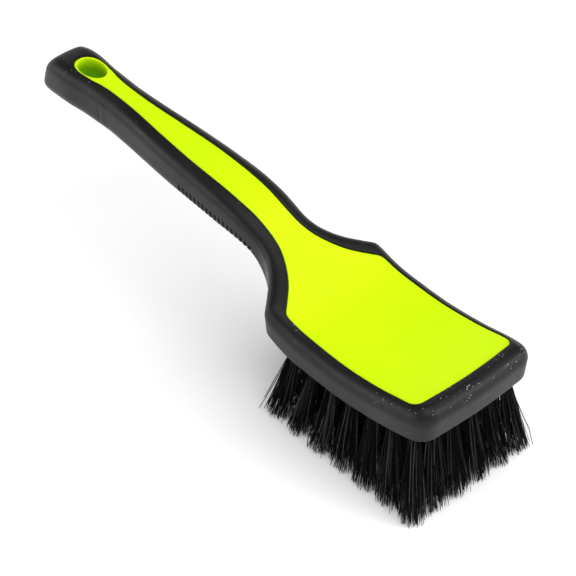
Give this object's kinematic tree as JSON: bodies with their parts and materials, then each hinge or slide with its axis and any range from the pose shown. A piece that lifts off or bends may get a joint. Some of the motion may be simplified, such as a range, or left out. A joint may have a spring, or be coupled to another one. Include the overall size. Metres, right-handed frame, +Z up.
{
  "type": "wheel brush",
  "caption": "Short-handled wheel brush: cranked handle with a hang hole, a moulded core in a soft grip and bumper, and a block of splayed bristle tufts under the head.",
  "frame": {"origin": "centre of the bounding box, on the plane of the bristle tips", "axes": "+X from the hanging end of the handle to the front of the head, +Y across the brush, +Z up from the bristle tips to the top of the handle"},
  "size_m": [0.2872, 0.0748, 0.0811],
  "materials": {
    "core_plastic": "satin, fine moulded grain",
    "soft_grip": "soft-touch matt",
    "bristle": "satin filament"
  },
  "bodies": {
    "root": {"core": "core_plastic", "grip_overmould": "soft_grip", "tuft_r1_c1": "bristle", "tuft_r1_c2": "bristle", "tuft_r1_c3": "bristle", "tuft_r1_c4": "bristle", "tuft_r1_c5": "bristle", "tuft_r1_c6": "bristle", "tuft_r2_c1": "bristle", "tuft_r2_c2": "bristle", "tuft_r2_c3": "bristle", "tuft_r2_c4": "bristle", "tuft_r2_c5": "bristle", "tuft_r2_c6": "bristle", "tuft_r3_c1": "bristle", "tuft_r3_c2": "bristle", "tuft_r3_c3": "bristle", "tuft_r3_c4": "bristle", "tuft_r3_c5": "bristle", "tuft_r3_c6": "bristle", "tuft_r4_c1": "bristle", "tuft_r4_c2": "bristle", "tuft_r4_c3": "bristle", "tuft_r4_c4": "bristle", "tuft_r4_c5": "bristle", "tuft_r4_c6": "bristle", "tuft_r5_c1": "bristle", "tuft_r5_c2": "bristle", "tuft_r5_c3": "bristle", "tuft_r5_c4": "bristle", "tuft_r5_c5": "bristle", "tuft_r5_c6": "bristle", "tuft_r6_c1": "bristle", "tuft_r6_c2": "bristle", "tuft_r6_c3": "bristle", "tuft_r6_c4": "bristle", "tuft_r6_c5": "bristle", "tuft_r6_c6": "bristle", "tuft_r7_c1": "bristle", "tuft_r7_c2": "bristle", "tuft_r7_c3": "bristle", "tuft_r7_c4": "bristle", "tuft_r7_c5": "bristle", "tuft_r7_c6": "bristle"}
  },
  "joints": []
}
